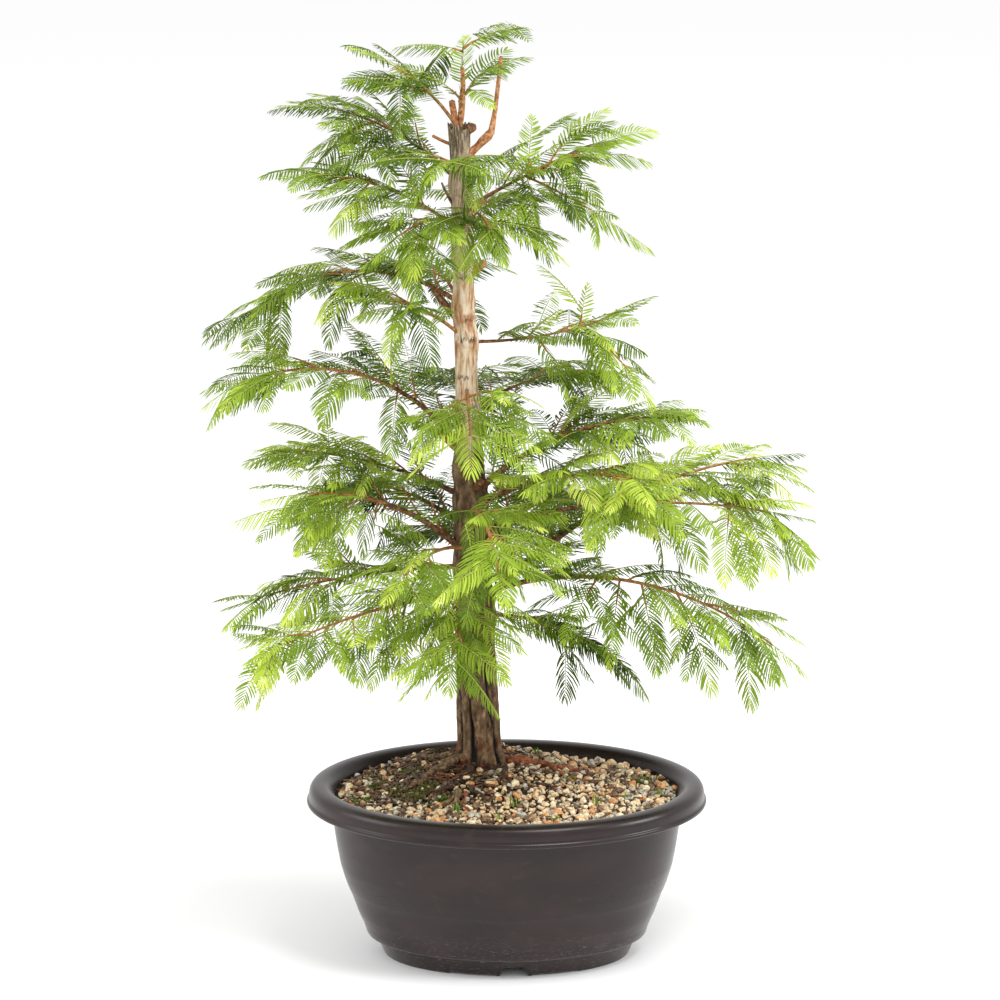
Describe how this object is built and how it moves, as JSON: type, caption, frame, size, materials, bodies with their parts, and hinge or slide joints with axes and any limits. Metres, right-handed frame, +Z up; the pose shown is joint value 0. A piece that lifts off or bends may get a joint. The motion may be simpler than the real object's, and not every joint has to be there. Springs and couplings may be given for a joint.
{
  "type": "potted dawn redwood bonsai tree",
  "caption": "Small conifer bonsai with a straight fissured trunk cut flat near its top and drooping feathery sprays, in an oval dark plastic training pot of gravel.",
  "frame": {"origin": "on the surface the pot stands on, under the middle of the part's bounding box", "axes": "+Z up along the trunk, the longest extent; the pot's long axis runs along X; the front of the pot and of the tree faces -Y"},
  "size_m": [0.3834, 0.2893, 0.5952],
  "materials": {
    "bark": "rough fissured bark, pale weathered wood above",
    "bough_bark": "matte young bark",
    "foliage": "soft matte yellow-green needles",
    "pot": "matte dark brown moulded plastic",
    "soil": "mixed gravel, bark chips and moss"
  },
  "bodies": {
    "root": {"bough_back_low": "bough_bark", "bough_back_low_left": "bough_bark", "bough_back_low_right": "bough_bark", "bough_back_mid": "bough_bark", "bough_back_mid_right": "bough_bark", "bough_bare_leader": "bough_bark", "bough_crown_left": "bough_bark", "bough_crown_right": "bough_bark", "bough_far_left": "bough_bark", "bough_left_lower": "bough_bark", "bough_left_middle": "bough_bark", "bough_left_upper": "bough_bark", "bough_low_left": "bough_bark", "bough_right_low": "bough_bark", "bough_right_mid": "bough_bark", "bough_right_rising": "bough_bark", "bough_right_thin": "bough_bark", "bough_right_tip": "bough_bark", "bough_right_upper": "bough_bark", "bough_thin_left": "bough_bark", "bough_top_left": "bough_bark", "foliage_back_crown": "foliage", "foliage_back_high": "foliage", "foliage_back_low": "foliage", "foliage_back_low_left": "foliage", "foliage_back_low_right": "foliage", "foliage_back_mid": "foliage", "foliage_back_mid_right": "foliage", "foliage_crown_fan": "foliage", "foliage_crown_left": "foliage", "foliage_crown_right": "foliage", "foliage_far_left": "foliage", "foliage_front_centre": "foliage", "foliage_front_high_left": "foliage", "foliage_front_high_right": "foliage", "foliage_front_low": "foliage", "foliage_front_low_left": "foliage", "foliage_front_mid": "foliage", "foliage_front_top": "foliage", "foliage_leader": "foliage", "foliage_left_high": "foliage", "foliage_left_lower": "foliage", "foliage_left_middle": "foliage", "foliage_left_upper": "foliage", "foliage_low_inner_right": "foliage", "foliage_low_left": "foliage", "foliage_right_low": "foliage", "foliage_right_mid": "foliage", "foliage_right_rising": "foliage", "foliage_right_thin": "foliage", "foliage_right_tip": "foliage", "foliage_right_upper": "foliage", "foliage_thin_left": "foliage", "foliage_top_left": "foliage", "pot": "pot", "soil": "soil", "trunk": "bark"}
  },
  "joints": []
}
